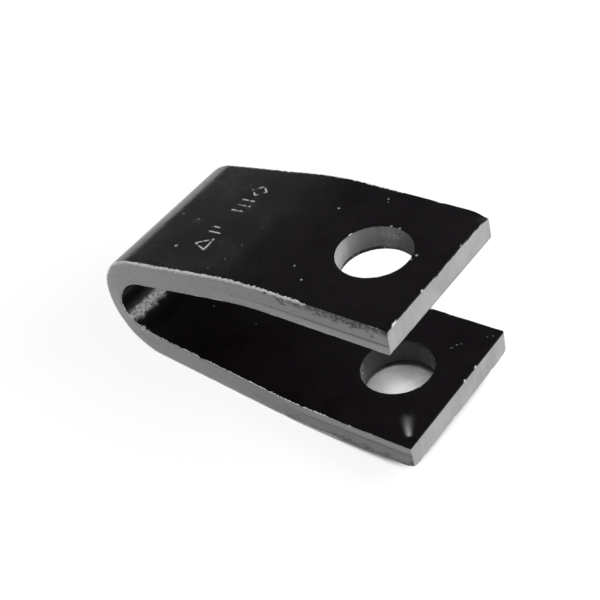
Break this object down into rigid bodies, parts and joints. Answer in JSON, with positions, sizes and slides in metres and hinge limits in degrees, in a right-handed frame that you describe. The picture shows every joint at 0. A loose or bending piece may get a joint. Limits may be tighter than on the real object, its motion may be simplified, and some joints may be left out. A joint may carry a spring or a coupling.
{
  "type": "strap clevis",
  "caption": "Flat steel strap folded into a U, its ears turned back parallel and punched on one axis for a cross pin.",
  "frame": {"origin": "on the axis of the pin bore, half-way between the two ears", "axes": "+Z along the pin bore from the lower ear to the upper ear, +X from the bend towards the open ends, +Y across the width of the strap"},
  "size_m": [0.1036, 0.0528, 0.05],
  "materials": {
    "painted_strap": "gloss black paint, thin and grey over the sheared edges"
  },
  "bodies": {
    "root": {"clevis_strap": "painted_strap"}
  },
  "joints": []
}
